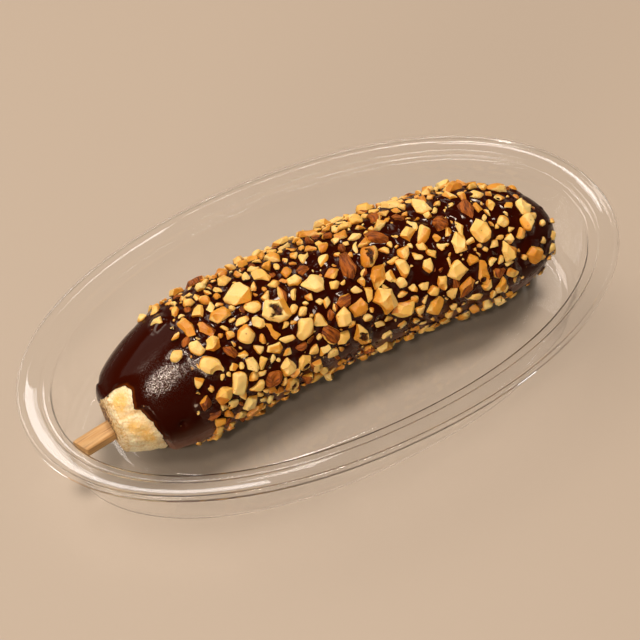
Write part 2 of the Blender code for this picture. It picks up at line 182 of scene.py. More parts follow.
# along the banana (mm), angle round it (degrees), length, width (mm), turn (degrees), kind
LARGE_NUTS = (
    (-38, 36, 10.4, 7.7, 103, "skin"), (-45, 36, 7.3, 6.2, 103, "plain"), (-51, 92, 9.6, 4.1, 82, "plain"),
    (-51, 112, 6.2, 4.8, 49, "plain"), (-49, 130, 12.0, 5.6, 53, "plain"), (-43, 153, 9.0, 6.0, 115, "gold"),
    (-31, 90, 9.6, 8.7, 160, "plain"), (-40, 98, 7.1, 6.3, 20, "plain"), (-46, 102, 8.0, 4.2, 63, "half"),
    (-29, 104, 6.5, 4.8, 18, "gold"), (-23, 116, 10.3, 8.8, 147, "core"), (-42, 127, 5.5, 4.0, 68, "skin"),
    (-35, 121, 6.1, 5.6, 132, "plain"), (-17, 138, 7.8, 6.3, 139, "plain"), (-8, 110, 8.8, 6.5, 30, "plain"),
    (5, 107, 9.7, 6.1, 104, "skin"), (13, 107, 8.8, 6.5, 123, "core"), (13, 124, 9.0, 4.4, 125, "gold"),
    (12, 146, 9.8, 8.2, 134, "plain"), (3, 142, 6.5, 6.1, 4, "gold"), (-3, 144, 6.4, 6.2, 119, "plain"),
    (-1, 132, 5.7, 4.6, 175, "skin"), (-9, 151, 8.8, 5.4, 51, "half"), (2, 166, 10.4, 6.5, 76, "core"),
    (10, 38, 9.6, 5.8, 109, "plain"), (26, 38, 8.5, 5.8, 112, "plain"), (32, 60, 8.1, 5.8, 63, "plain"),
    (39, 77, 8.5, 7.3, 78, "gold"), (40, 48, 9.2, 3.5, 91, "gold"), (19, 94, 9.3, 5.4, 38, "skin"),
    (34, 105, 9.2, 5.1, 136, "plain"), (55, 62, 10.8, 5.4, 141, "gold"), (59, 82, 7.4, 3.8, 45, "plain"),
    (69, 75, 8.3, 4.6, 11, "plain"), (52, 96, 7.7, 5.8, 101, "skin"), (41, 101, 5.7, 5.4, 46, "skin"),
    (53, 118, 8.9, 6.9, 84, "plain"), (40, 143, 7.2, 6.2, 56, "plain"), (49, 153, 9.5, 5.0, 103, "gold"),
    (42, 162, 9.0, 5.0, 135, "half"), (55, 173, 7.7, 5.0, 106, "gold"), (71, 120, 7.7, 5.8, 115, "plain"),
    (60, 142, 8.1, 5.4, 85, "plain"), (30, 169, 7.4, 5.8, 118, "plain"), (18, 158, 8.5, 5.8, 14, "plain"),
    (-25, 184, 8.5, 5.0, 90, "core"), (-26, 210, 8.8, 3.8, 73, "gold"), (-40, 210, 10.0, 3.8, 78, "gold"),
)

# Further nuts that only the looks have
MORE_NUTS = (
    (-27, 128, 7.2, 3.2, 65, "plain"), (-13, 100, 5.5, 4.4, 33, "plain"), (45, 174, 8.5, 4.2, 155, "plain"),
    (-26, 161, 6.5, 5.8, 92, "plain"), (-20, 166, 7.9, 5.0, 108, "plain"), (-31, 170, 6.0, 5.0, 171, "plain"),
    (-40, 172, 7.3, 4.2, 177, "gold"), (-39, 192, 7.5, 5.4, 132, "gold"), (22, 126, 6.9, 4.9, 93, "plain"),
    (18, 63, 6.5, 5.4, 103, "gold"), (-5, 100, 7.7, 4.4, 66, "gold"), (-3, 80, 6.9, 5.4, 154, "plain"),
    (5, 211, 7.7, 4.2, 71, "gold"), (-22, 37, 7.7, 4.6, 105, "gold"), (-18, 70, 9.2, 4.2, 83, "gold"),
)

# Smaller nuts that only the looks have: seed, tries, smallest, largest (m), closeness
SCATTERS = (
    (23, 9000, 0.0042, 0.0068, 0.385),
    (29, 8000, 0.0026, 0.0044, 0.38),
    (37, 7000, 0.0009, 0.0022, 0.46),
)
SCATTER_FIRST_X = -0.062
SCATTER_REACH = 0.147
BARE_TIP_X = 0.060
MORE_SEED = NUT_SEED + 2
# Least distance between nuts, as a share of their lengths' sum
SOLID_SPACING = 0.54
MORE_SPACING = 0.33

# Lengths (m) below which nuts get a plainer treatment, and the longest edges of their meshes
SMALLEST_WORN = 0.0023
SMALLEST_BITTEN = 0.0038
SMALLEST_CUT = 0.0040
SMALLEST_WETTED = 0.0048
FINE_NUT = 0.0055
LARGE_NUT = 0.0068
FINE_CELLS = (0.0022, 0.0012, 0.00085)
COARSE_CELLS = (0.0013,)

# A nut's tallest height (m), then how far chance goes in its height, turn, reach (least, spread) and lift
CHUNK_RULE = (0.0034, 0.4, 0.5, 0.98, 0.22, 0.12)
SHARD_RULE = (0.0030, 0.5, 0.6, 0.80, 0.42, 0.25)
# Its levels: share of the height, size, corners. The first level is sunk into the chocolate.
CHUNK_LEVELS = ((0.0, 0.80, 3), (0.42, 1.0, 5), (1.0, 0.66, 4))
SHARD_LEVELS = (
    ((0.0, 0.85, 3), (0.35, 1.0, 4), (1.0, 0.75, 3)),
    ((0.0, 0.80, 3), (0.30, 1.0, 4), (1.0, 0.60, 2)),
    ((0.0, 0.90, 3), (0.50, 1.0, 3), (0.9, 0.85, 3)),
)
TOAST_SHIFTS = {"plain": 0.50, "gold": -0.15, "skin": -0.3, "half": 0.1, "core": 0.2}
SKIN_LIMITS = {"skin": -0.25, "half": 0.45}
NUT_MARKS = ("toast_and_painted_shade", "skin", "tone", "core", "stain", "along", "across")
Nut = namedtuple("Nut", "x angle length width turn")
Seat = namedtuple("Seat", "base long wide out height")

# Camera fitted to the photograph
CAMERA_TARGET = Vector((-0.0080, -0.0068, 0.0350))
CAMERA_ELEVATION = math.radians(52.63)
CAMERA_AZIMUTH = math.radians(-28.98)
CAMERA_DISTANCE = 0.4248
CAMERA_LENS = 73.125
SENSOR_WIDTH = 36.0

# Floor, surroundings and lights: name, direction, distance, width, height (m), power (W), colour
FLOOR_REACH = 3.0
FLOOR_DROP = 0.0002
WORLD_COLOR = (1.0, 0.87, 0.73)
LIGHTS = (
    ("back_left", (-0.38, 0.62, 0.69), 3.9, 2.40, 2.10, 83.0, (1.0, 0.95, 0.88)),
    ("front_left", (-0.40, -0.41, 0.82), 2.7, 0.255, 0.195, 13.0, (1.0, 0.93, 0.85)),
    ("high_left", (-0.30, -0.16, 0.94), 3.3, 0.60, 0.48, 17.0, (1.0, 0.95, 0.89)),
    ("low_left", (-0.74, -0.64, 0.14), 3.0, 1.50, 0.76, 44.0, (1.0, 0.88, 0.72)),
    ("overhead", (0.18, 0.09, 0.97), 3.3, 0.78, 0.60, 60.0, (1.0, 0.95, 0.89)),
    ("far_glint", (0.438, 0.459, 0.773), 1.062, 0.06, 0.05, 0.11, (1.0, 1.0, 1.0)),
    ("near_glint", (0.1345, 0.577, 0.806), 0.974, 0.14, 0.10, 0.42, (1.0, 1.0, 1.0)),
)

# How far apart neighbouring cells of the noise look in its table
NOISE_STRIDES = (73856093, 19349663, 83492791)


# Shape rules, shared with the solids

def smooth(low, high, value):
    """Return a soft step from 0 at low to 1 at high, for numbers or arrays."""
    t = np.clip((np.asarray(value, dtype=float) - low) / (high - low), 0.0, 1.0)
    return t * t * (3.0 - 2.0 * t)


def wrapped(angle, turn=2.0 * math.pi):
    """Return an angle brought to within half a turn of 0."""
    return (angle + turn / 2.0) % turn - turn / 2.0


def turns(count):
    """Return evenly spaced angles round a full turn."""
    return 2.0 * np.pi * np.arange(count) / count


def middle_y(x):
    """Return the banana's middle line in plan."""
    return BOW_PEAK_Y - BOW * (x - BOW_PEAK_X) ** 2


def middle_z(x):
    """Return the height of the banana's middle line."""
    return SAG_PEAK_Z - SAG * (x - SAG_PEAK_X) ** 2


def middle(x):
    """Return a point on the banana's middle line."""
    return (x, middle_y(x), middle_z(x))


def left_girth(x):
    """Return the coated radius at x, before the tip's rounding."""
    t = np.clip((SHOULDER_LEFT_X - x) / LEFT_REACH, 0.0, 1.0)
    full = BELLY_RADIUS - TAPER * np.maximum(0.0, x - SHOULDER_LEFT_X)
    return full * np.sqrt(1.0 - t ** LEFT_POWER)


def tip_rounding(x, tip_x):
    """Return the factor that closes a surface at tip_x."""
    t = np.clip((x - SHOULDER_RIGHT_X) / (tip_x - SHOULDER_RIGHT_X), 0.0, 1.0)
    return np.sqrt(np.maximum(0.0, 1.0 - t ** RIGHT_POWER))


def coat_radius(x):
    """Return the outer radius of the chocolate."""
    return left_girth(x) * tip_rounding(x, TIP_X)


def seam_factor(x, angle):
    """Return how far the seams between the lobes draw the flesh in."""
    groove = 0.0
    for seam in SEAM_ANGLES:
        away = wrapped(np.degrees(angle) - seam, 360.0)
        groove = groove + np.exp(-(away / SEAM_WIDTH) ** 2)
    return 1.0 - SEAM_DEPTH * groove * (1.0 - smooth(-0.070, -0.058, x))


def flesh_radius(x, angle):
    """Return the radius of the flesh."""
    coat = COAT_CUT_END + (COAT_BELLY - COAT_CUT_END) * smooth(-0.076, -0.058, x)
    girth = (left_girth(x) - coat) * seam_factor(x, angle)
    return girth * tip_rounding(x, TIP_X - COAT_TIP)


def place(x, angle, radius):
    """Return points at angles round the banana, as an array."""
    y = middle_y(x) + radius * np.cos(angle)
    z = middle_z(x) + radius * np.sin(angle)
    return np.stack(np.broadcast_arrays(x, y, z), axis=-1)


def soft_noise(points, size, seed):
    """Return smooth repeatable noise from -1 to 1 at points, with lumps of the given size."""
    table = np.random.RandomState(seed).uniform(-1.0, 1.0, 4096)
    scaled = np.asarray(points, dtype=float) / size
    cell = np.floor(scaled).astype(np.int64)
    part = scaled - cell
    part = part * part * (3.0 - 2.0 * part)
    total = 0.0
    for way in itertools.product((0, 1), repeat=3):
        corner = (cell + way) * NOISE_STRIDES
        spot = corner[..., 0] ^ corner[..., 1] ^ corner[..., 2]
        weight = np.abs(1 - np.array(way) - part)
        total = total + weight[..., 0] * weight[..., 1] * weight[..., 2] * table[spot & 4095]
    return total


def line_noise(values, size, seed):
    """Return smooth noise along a line."""
    return soft_noise(np.stack([values, values * 0.0, values * 0.0], -1), size, seed)


# Mesh helpers

def add_mesh(name, points, faces, material):
    """Make a smooth object from points and faces."""
    mesh = bpy.data.meshes.new(name)
    mesh.from_pydata(np.asarray(points).reshape(-1, 3).tolist(), [], faces)
    mesh.validate()
    mesh.shade_smooth()
    item = bpy.data.objects.new(name, mesh)
    bpy.context.scene.collection.objects.link(item)
    item.data.materials.append(material)
    return item


def ring_faces(rings, sides, start=0):
    """Return the faces between consecutive closed rings of points."""
    ring = np.arange(rings - 1)[:, None]
    side = np.arange(sides)[None, :]
    after = (side + 1) % sides
    quads = np.stack([start + ring * sides + side, start + ring * sides + after,
                      start + (ring + 1) * sides + after, start + (ring + 1) * sides + side], axis=-1)
    return quads.reshape(-1, 4).tolist()


def closed_tube(name, rings, first_cap, last_cap, material):
    """Join an array of rings into a closed skin, with a point to close each end."""
    count, sides = rings.shape[:2]
    points = np.concatenate([rings.reshape(-1, 3), [first_cap], [last_cap]])
    faces = ring_faces(count, sides)
    first, last = count * sides, count * sides + 1
    base = (count - 1) * sides
    for side in range(sides):
        after = (side + 1) % sides
        faces.append([first, after, side])
        faces.append([last, base + side, base + after])
    item = add_mesh(name, points, faces, material)
    outward(item)
    return item


def outward(item):
    """Turn all the faces of an object's mesh outward."""
    bm = bmesh.new()
    bm.from_mesh(item.data)
    bmesh.ops.recalc_face_normals(bm, faces=bm.faces)
    bm.to_mesh(item.data)
    bm.free()


def set_attribute(item, name, values):
    """Store one number for each point of an object's mesh."""
    layer = item.data.attributes.new(name, "FLOAT", "POINT")
    layer.data.foreach_set("value", np.asarray(values, dtype=np.float32).ravel())


def mark_tube(item, name, values, first=0.0):
    """Store numbers for a tube's last rings, and one for the point that closes its first end."""
    padded = np.zeros(len(item.data.vertices))
    padded[-2 - values.size:-2] = values.ravel()
    padded[-2] = first
    set_attribute(item, name, padded)


# Materials

def feed(tree, value, socket):
    """Link a socket to an input, or set the input's value."""
    if isinstance(value, bpy.types.NodeSocket):
        tree.links.new(value, socket)
    else:
        socket.default_value = (*value, 1.0) if socket.type == "RGBA" else value


def add_node(tree, kind, output, inputs=None, **settings):
    """Add a shader node, set it up, feed its inputs and return one of its outputs."""
    node = tree.nodes.new("ShaderNode" + kind)
    for key, value in settings.items():
        setattr(node, key, value)
    for key, value in (inputs or {}).items():
        feed(tree, value, node.inputs[key])
    return node.outputs[output]


class Recipe:
    """A Principled material and short calls that add nodes to it."""

    def __init__(self, name, color, roughness, **values):
        self.material = bpy.data.materials.new(name)
        self.material.use_nodes = True
        self.tree = self.material.node_tree
        self.use(Base_Color=color, Roughness=roughness, **values)
        self.coordinates = self.node("TexCoord", "Object")

    def use(self, **values):
        """Feed the shader's inputs."""
        for key, value in values.items():
            feed(self.tree, value, self.tree.nodes["Principled BSDF"].inputs[key.replace("_", " ")])

    def node(self, kind, output, inputs=None, **settings):
        """Add a node and return one of its outputs."""
        return add_node(self.tree, kind, output, inputs, **settings)

    def noise(self, scale, detail=2.0, roughness=0.5, stretch=None, source=None):
        """Add a noise texture, lengthened where stretch is below 1, and return its value."""
        source = self.coordinates if source is None else source
        if stretch is not None:
            source = self.node("Mapping", "Vector", {"Vector": source, "Scale": stretch})
        return self.node("TexNoise", "Fac", {"Scale": scale, "Detail": detail, "Roughness": roughness,
                                             "Vector": source})

    def cells(self, scale):
        """Add a Voronoi texture and return its distance."""
        return self.node("TexVoronoi", "Distance", {"Scale": scale, "Vector": self.coordinates})

    def mark(self, name):
        """Return a number stored on the mesh."""
        return self.node("Attribute", "Fac", attribute_name=name)

    def math(self, operation, first, second):
        """Add a math node."""
        return self.node("Math", "Value", {0: first, 1: second}, operation=operation)

    def step(self, value, low, high, out_low=0.0, out_high=1.0):
        """Map a value from one range to another with a soft step."""
        inputs = {"Value": value, "From Min": low, "From Max": high, "To Min": out_low, "To Max": out_high}
        return self.node("MapRange", "Result", inputs, interpolation_type="SMOOTHSTEP")

    def mix(self, share, first, second):
        """Mix two colours."""
        return self.node("Mix", 2, {0: share, 6: first, 7: second}, data_type="RGBA")

    def bump(self, height, distance, strength=1.0, normal=None):
        """Add a bump, on top of another one if given."""
        inputs = {"Strength": strength, "Distance": distance, "Height": height}
        if normal is not None:
            inputs["Normal"] = normal
        return self.node("Bump", "Normal", inputs)

    def scatter_light(self, weight, radius, scale):
        """Let light into the surface a little."""
        self.tree.nodes["Principled BSDF"].subsurface_method = "RANDOM_WALK"
        self.use(Subsurface_Weight=weight, Subsurface_Radius=radius, Subsurface_Scale=scale)


def clear_material():
    """Clear thin plastic."""
    look = Recipe("clear_plastic", (0.99, 0.99, 0.99), 0.0, IOR=1.34, Transmission_Weight=1.0,
                  Specular_Tint=(0.92, 0.89, 0.90))
    look.use(Normal=look.bump(look.noise(26.0, 1.0), 0.0006, 0.25))
    return look.material


def chocolate_material():
    """Dark glossy chocolate, duller where it is thin and towards its lower edges; there and on its back the
    base colour is also a lighter brown, a painted sheen.
    """
    look = Recipe("chocolate", (0.020, 0.0035, 0.0015), 0.12, IOR=2.2, Specular_Tint=(1.0, 0.86, 0.74))
    patches = look.noise(55.0, 3.0, 0.55)
    # Painted sheen: this mark lightens the base colour along the lower edges and the back, besides making
    # them rougher.
    dull_and_painted_sheen = look.math("ADD", look.mark("dull_and_painted_sheen"), look.math("MULTIPLY", patches, 0.35))
    share = look.step(dull_and_painted_sheen, 0.22, 1.12)
    color = look.mix(share, (0.027, 0.0026, 0.0006), (0.125, 0.038, 0.015))
    rust = look.math("MULTIPLY", look.mark("thin"), look.step(patches, 0.3, 0.6, 0.15, 0.85))
    color = look.mix(rust, color, (0.12, 0.024, 0.003))
    specks = look.step(look.cells(230.0), 0.030, 0.055, 0.85, 0.0)
    color = look.mix(specks, color, (0.45, 0.20, 0.07))
    frost = look.mark("frost")
    grain = look.noise(2500.0, 2.0, 0.8)
    glint = look.math("MULTIPLY", look.step(grain, 0.46, 0.60), frost)
    runs = look.step(look.noise(330.0, 1.0), 0.42, 0.56, 0.25, 1.0)
    wet = look.math("MULTIPLY", look.math("MULTIPLY", look.mark("wet"), 0.16), runs)
    gloss = look.step(look.math("MAXIMUM", glint, wet), 0.0, 0.9, 0.007, 1.0)
    gloss = look.math("ADD", gloss, look.math("MULTIPLY", share, 0.11))
    rough = look.math("ADD", look.step(share, 0.0, 1.0, 0.13, 0.40), look.math("MULTIPLY", frost, 0.08))
    relief = look.bump(look.math("MULTIPLY", grain, frost), 0.000075)
    look.use(Base_Color=color, Specular_IOR_Level=gloss, Roughness=rough, Normal=relief)
    return look.material


def nut_material():
    """Chopped roasted nut: pale cut faces, golden outer faces, brown skin and dark pits; the golden colour is
    also painted on steep sides and low parts as shade.
    """
    look = Recipe("chopped_nut", (0.80, 0.53, 0.22), 0.5, IOR=1.45)
    look.scatter_light(0.25, (1.0, 0.45, 0.15), 0.0007)
    broad = look.noise(300.0, 3.0, 0.6)
    fine = look.noise(1500.0, 3.0, 0.6)
    tone = look.mark("tone")
    core = look.mark("core")
    cream = look.mix(tone, (0.91, 0.61, 0.205), (0.84, 0.46, 0.090))
    gold = look.mix(tone, (0.76, 0.33, 0.032), (0.58, 0.19, 0.010))
    # This mark is partly painted shade: more golden on steep sides and near the chocolate.
    toast_and_painted_shade = look.math("ADD", look.mark("toast_and_painted_shade"), look.step(broad, 0.35, 0.75, -0.22, 0.22))
    flesh = look.mix(look.step(toast_and_painted_shade, 0.25, 0.85), cream, gold)
    pits = look.step(look.cells(310.0), 0.06, 0.13, 0.75, 0.0)
    flesh = look.mix(look.math("MULTIPLY", pits, look.step(fine, 0.35, 0.6)), flesh, (0.30, 0.11, 0.02))
    own = look.node("CombineXYZ", "Vector", {"X": look.mark("along"), "Y": look.mark("across"), "Z": tone})
    grain = look.noise(1500.0, 3.0, 0.6, (0.16, 1.0, 1.0), own)
    skin = look.mix(look.step(grain, 0.36, 0.62), (0.085, 0.018, 0.005), (0.46, 0.125, 0.016))
    skin = look.mix(look.step(broad, 0.30, 0.75, 0.0, 0.6), skin, (0.24, 0.055, 0.010))
    covered = look.step(look.mark("skin"), 0.42, 0.58)
    color = look.mix(covered, flesh, skin)
    pit = look.mix(look.step(fine, 0.42, 0.62), (0.018, 0.005, 0.002), (0.120, 0.034, 0.008))
    color = look.mix(core, color, pit)
    stain = look.math("ADD", look.mark("stain"), look.step(fine, 0.3, 0.7, -0.25, 0.25))
    color = look.mix(look.step(stain, 0.45, 0.75), color, (0.030, 0.008, 0.004))
    gloss = look.step(look.math("MAXIMUM", core, covered), 0.2, 0.7, 0.5, 0.14)
    ridges = look.bump(look.math("MULTIPLY", grain, covered), 0.00040, 1.0, look.bump(fine, 0.00010, 0.8))
    look.use(Base_Color=color, Roughness=look.step(fine, 0.3, 0.7, 0.36, 0.56), Specular_IOR_Level=gloss,
             Normal=ridges)
    return look.material


def flesh_material():
    """Banana flesh: pale, moist and grainy, with an orange seam, soft spots and a brown torn end, painted
    near black round the stick as shade.
    """
    look = Recipe("banana_flesh", (0.86, 0.62, 0.33), 0.5, IOR=1.4)
    look.scatter_light(0.22, (1.0, 0.55, 0.25), 0.0008)
    broad = look.noise(170.0, 3.0, 0.6)
    fibres = look.noise(1000.0, 4.0, 0.7, (0.55, 1.0, 1.0))
    grains = look.cells(1500.0)
    color = look.mix(look.step(broad, 0.35, 0.7), (0.97, 0.80, 0.53), (0.95, 0.70, 0.37))
    color = look.mix(look.step(fibres, 0.36, 0.64, 0.0, 0.5), color, (0.98, 0.83, 0.56))
    color = look.mix(look.step(grains, 0.42, 0.80, 0.0, 0.45), color, (0.72, 0.42, 0.14))
    orange = look.math("MULTIPLY", look.mark("spot"), look.step(fibres, 0.30, 0.60, 0.45, 1.0))
    color = look.mix(orange, color, (0.92, 0.52, 0.13))
    seam = look.math("MULTIPLY", look.mark("seam"), look.step(fibres, 0.3, 0.6, 0.6, 1.0))
    color = look.mix(seam, color, (0.80, 0.44, 0.12))
    torn_and_painted_shade = look.math("ADD", look.mark("torn_and_painted_shade"), look.step(fibres, 0.35, 0.65, -0.30, 0.30))
    color = look.mix(look.step(torn_and_painted_shade, 0.35, 1.0), color, (0.68, 0.38, 0.12))
    # Near black where the mark is highest: painted shade round the stick's entry, and in the middle of the
    # face.
    color = look.mix(look.step(torn_and_painted_shade, 0.85, 1.15), color, (0.10, 0.030, 0.008))
    relief = look.bump(fibres, 0.00055, 1.0, look.bump(grains, 0.00016, 0.9))
    look.use(Base_Color=color, Roughness=look.step(fibres, 0.3, 0.7, 0.40, 0.62), Normal=relief)
    return look.material


def wood_material():
    """Pale wood with fine grain along the stick."""
    look = Recipe("stick_wood", (0.80, 0.49, 0.20), 0.55, IOR=1.45)
    turned = look.node("Mapping", "Vector", {"Vector": look.coordinates, "Rotation": (0.0, 0.0, -STICK_YAW)})
    bands = look.noise(1100.0, 3.0, 0.6, (0.035, 1.0, 1.0), turned)
    lines = look.noise(2900.0, 2.0, 0.6, (0.02, 1.0, 1.0), turned)
    color = look.mix(look.step(bands, 0.32, 0.68), (0.55, 0.27, 0.085), (0.72, 0.44, 0.19))
    color = look.mix(look.step(lines, 0.48, 0.64, 0.0, 0.7), color, (0.33, 0.125, 0.028))
    # Painted shade: dark along the split.
    color = look.mix(look.mark("split_and_painted_shade"), color, (0.20, 0.06, 0.015))
    look.use(Base_Color=color, Normal=look.bump(bands, 0.00025, 0.8, look.bump(lines, 0.00020)))
    return look.material


def floor_material():
    """Plain pale floor."""
    return Recipe("floor", (0.45, 0.345, 0.258), 0.6).material


# Dish

def arc(centre, radius, start, end, steps):
    """Return points on an arc in the dish's section, angles in degrees."""
    points = []
    for step in range(steps + 1):
        angle = math.radians(start + (end - start) * step / steps)
        points.append((centre[0] - radius * math.cos(angle), centre[1] + radius * math.sin(angle)))
    return points


def dish_section():
    """Return the dish's upper side as (inset from the rim, height), rim to panel centre."""
    rim = DISH_HEIGHT - LIP_RISE
    ledge = rim - LEDGE_DROP
    step = LIP_WIDTH + FLANGE_WIDTH
    wall_top = step + LEDGE_WIDTH + LEDGE_FOLD
    corner = wall_top + WALL_DRAFT + BASE_ROUND
    foot_top = DISH_WALL + BASE_ROUND
    ring_end = corner + RING_WIDTH
    panel = DISH_WALL + PANEL_RISE
    points = [(0.0, rim - 0.0006)] + arc((LIP_ROUND, DISH_HEIGHT - LIP_ROUND), LIP_ROUND, 20.0, 90.0, 5)
    for inset, height, offsets in ((LIP_WIDTH, DISH_HEIGHT, LIP_OFFSETS), (LIP_WIDTH, rim, FLANGE_OFFSETS),
                                   (step, rim, STEP_OFFSETS), (step, ledge, LEDGE_OFFSETS),
                                   (wall_top, ledge, WALL_OFFSETS)):
        points += [(inset + across, height + up) for across, up in offsets]
    points += [(wall_top + WALL_DRAFT - 0.0001, foot_top + 0.0010)]
    points += arc((corner, foot_top), BASE_ROUND, 0.0, -90.0, 12)
    points += [(corner + 0.0008, DISH_WALL), (ring_end - 0.0003, DISH_WALL)]
    for share in np.arange(12) / 12.0:
        rise = 0.5 - 0.5 * math.cos(math.pi * share)
        across = ring_end + PANEL_FOLD + PANEL_SLOPE * share
        points.append((across, DISH_WALL + PANEL_FOLD + (PANEL_RISE - PANEL_FOLD) * rise))
    return points + [(ring_end + 0.0040, panel), (ring_end + 0.0050, panel)]


def thicken(points, wall):
    """Return the section's under side, a wall thickness away."""
    under = []
    for index, point in enumerate(points):
        before = points[max(index - 1, 0)]
        after = points[min(index + 1, len(points) - 1)]
        along = Vector((after[0] - before[0], after[1] - before[1])).normalized()
        under.append((point[0] + along[1] * wall, point[1] - along[0] * wall))
    return under


def oval_ring(inset, height):
    """Return one oval loop of the dish."""
    wall_foot = LIP_WIDTH + FLANGE_WIDTH + LEDGE_WIDTH + WALL_DRAFT
    half_length = DISH_LENGTH / 2.0 - inset - END_EASE * max(0.0, inset - wall_foot - DISH_WALL)
    half_width = DISH_WIDTH / 2.0 - inset
    return np.insert(rounded(turns(DISH_SIDES), OVAL_POWER, half_length, half_width), 2, height, axis=1)


def rounded(angle, power, half_length, half_width):
    """Return points on an oval that is squarer the higher its power is."""
    sides = []
    for way, half in ((np.cos(angle), half_length), (np.sin(angle), half_width)):
        sides.append(np.sign(way) * np.abs(way) ** (2.0 / power) * half)
    return np.stack(sides, axis=-1)


def build_dish():
    """Make the clear dish as one thin closed shell."""
    upper = dish_section()
    under = thicken(upper, SHELL_WALL)
    base = min(height for inset, height in under)
    loops = [oval_ring(inset, height - base) for inset, height in reversed(under)]
    loops += [oval_ring(inset, height - base) for inset, height in upper]
    rings = np.array(loops)
    first_cap = (0.0, 0.0, rings[0, 0, 2])
    last_cap = (0.0, 0.0, rings[-1, 0, 2])
    item = closed_tube("clear_dish", rings, first_cap, last_cap, clear_material())
    item.visible_shadow = False
    return item


# Chocolate coat

def edge_line(angle):
    """Return where the chocolate stops at each angle, a little ragged."""
    line = np.array(EDGE_LINE)
    degrees = (np.degrees(angle) + 60.0) % 360.0 - 60.0
    x = np.interp(degrees, line[:, 0], line[:, 1], period=360.0)
    ragged = line_noise(degrees, 3.1, 5) * 0.22 + line_noise(degrees, 9.0, 6) * 0.28
    fade = smooth(86.0, 95.0, degrees) * (1.0 - smooth(275.0, 300.0, degrees))
    return (x + ragged * fade) / 1000.0


def coat_rows(edge):
    """Return x for the coat's outer side: close rows from its edge, then even ones to the tip."""
    shares = np.linspace(1.0, 0.0, EDGE_ROWS) ** 0.9
    near = STRAIGHT_X + (edge - STRAIGHT_X) * shares[:, None]
    even = STRAIGHT_X + (TIP_X - TIP_CROWN - STRAIGHT_X) * np.linspace(0.0, 1.0, EVEN_ROWS)[1:]
    far = np.concatenate([even, TIP_X - TIP_CROWN * np.array(CROWN_SHARES)])
    return np.concatenate([near, np.repeat(far[:, None], len(edge), axis=1)])


def build_coat(feet, material):
    """Make the chocolate: a lumpy glossy skin that wets the foot of each nut."""
    angle = turns(COAT_SIDES)
    angle = angle - CROWDING * np.sin(angle - CROWD_WAY)
    edge = edge_line(angle)
    x_all = coat_rows(edge)
    angles = np.broadcast_to(angle, x_all.shape)
    past_edge = x_all - edge
    thin = flesh_radius(x_all, angles) + COAT_LIP
    full = coat_radius(x_all)
    radius = thin + (full - thin) * smooth(0.0, COAT_LIP_REACH, past_edge)
    spots = place(x_all, angles, full)
    lumps = 0.00040 * soft_noise(spots, 0.016, 1) + 0.00010 * soft_noise(spots, 0.006, 2)
    radius = radius + lumps * smooth(0.0, 0.004, past_edge)
    dent_away = np.hypot(x_all - DENT_X, (angles - DENT_ANGLE) * full)
    radius = radius - DENT_DEPTH * np.exp(-(dent_away / DENT_SIZE) ** 2)
    climb, wet = wetting(feet, x_all, angles, full)
    outer = place(x_all, angles, radius + climb)
    outer[..., 2] = np.maximum(outer[..., 2], REST_HEIGHT)
    foot = flesh_radius(edge, angle)
    lip = [place(edge - back, angle, foot + COAT_LIP * lift) for back, lift in COAT_LIP_STEPS]
    inner_x = [edge + (STRAIGHT_X - edge) * share for share in (0.05, 0.3, 0.6, 0.85)]
    inner_x += [np.full(COAT_SIDES, x) for x in (*np.linspace(STRAIGHT_X, 0.078, 24), *TIP_ROWS)]
    inner = np.array([place(x, angle, flesh_radius(x, angle) + 0.00005) for x in inner_x])[::-1]
    rings = np.concatenate([inner, lip, outer])
    item = closed_tube("chocolate", rings, middle(0.0853), middle(TIP_X), material)
    degrees = np.degrees(angles) % 360.0
    # Lower edges, back and underside: a duller finish, and a lighter base colour there that is painted sheen.
    under = smooth(330.0, 350.0, degrees)
    low = smooth(155.0, 215.0, degrees) * (1.0 - under)
    back = np.maximum(1.0 - smooth(20.0, 62.0, degrees), under)
    frost = np.exp(-((degrees - 120.0) / 17.0) ** 2) * smooth(-0.074, -0.068, x_all)
    frost = frost * (1.0 - smooth(-0.052, -0.047, x_all))
    bare_side = smooth(84.0, 96.0, degrees) * (1.0 - smooth(275.0, 295.0, degrees))
    thin_edge = (1.0 - smooth(0.0001, 0.0008, past_edge)) * bare_side
    for name, values in zip(COAT_MARKS, (np.maximum(low, 0.6 * back), frost, thin_edge, wet)):
        mark_tube(item, name, values)
    return item


def build_wrap(material):
    """Make the chocolate that runs over the upper corner of the banana's end face."""
    around, across = 90, 26
    angle = np.radians(np.linspace(-29.0, 90.0, around))
    ends = np.sin(np.linspace(0.0, np.pi, around)) ** 0.4
    rim = flesh_radius(np.full(around, CUT_X), angle) * FACE_SHARE
    line = WRAP_LINE / np.cos(angle - WRAP_WAY) + 0.0005 * line_noise(angle * 5.0, 1.0, 31)
    last = np.arcsin(np.clip(line / rim, 0.0, 0.995))
    layers = []
    for thickness, overhang in ((0.00034, 0.00022), (0.00003, 0.0)):
        rows = []
        for share in np.arange(across) / (across - 1.0):
            lean = math.radians(92.0) * (1.0 - share) + last * share
            lift = thickness * (1.0 - smooth(0.80, 1.0, share)) * ends + 0.00003
            ring = place(np.full(around, CUT_X), angle, (rim + overhang * ends) * np.sin(lean))
            ring[:, 0] -= FACE_BULGE * np.maximum(np.cos(lean), 0.0) ** 0.8 + lift
            rows.append(ring)
        layers.append(np.array(rows))
    section = np.concatenate([layers[0], layers[1][::-1]]).transpose(1, 0, 2)
    item = closed_tube("chocolate_wrap", section, section[0].mean(axis=0), section[-1].mean(axis=0), material)
    for name in COAT_MARKS:
        set_attribute(item, name, np.zeros(len(item.data.vertices)))
    return item


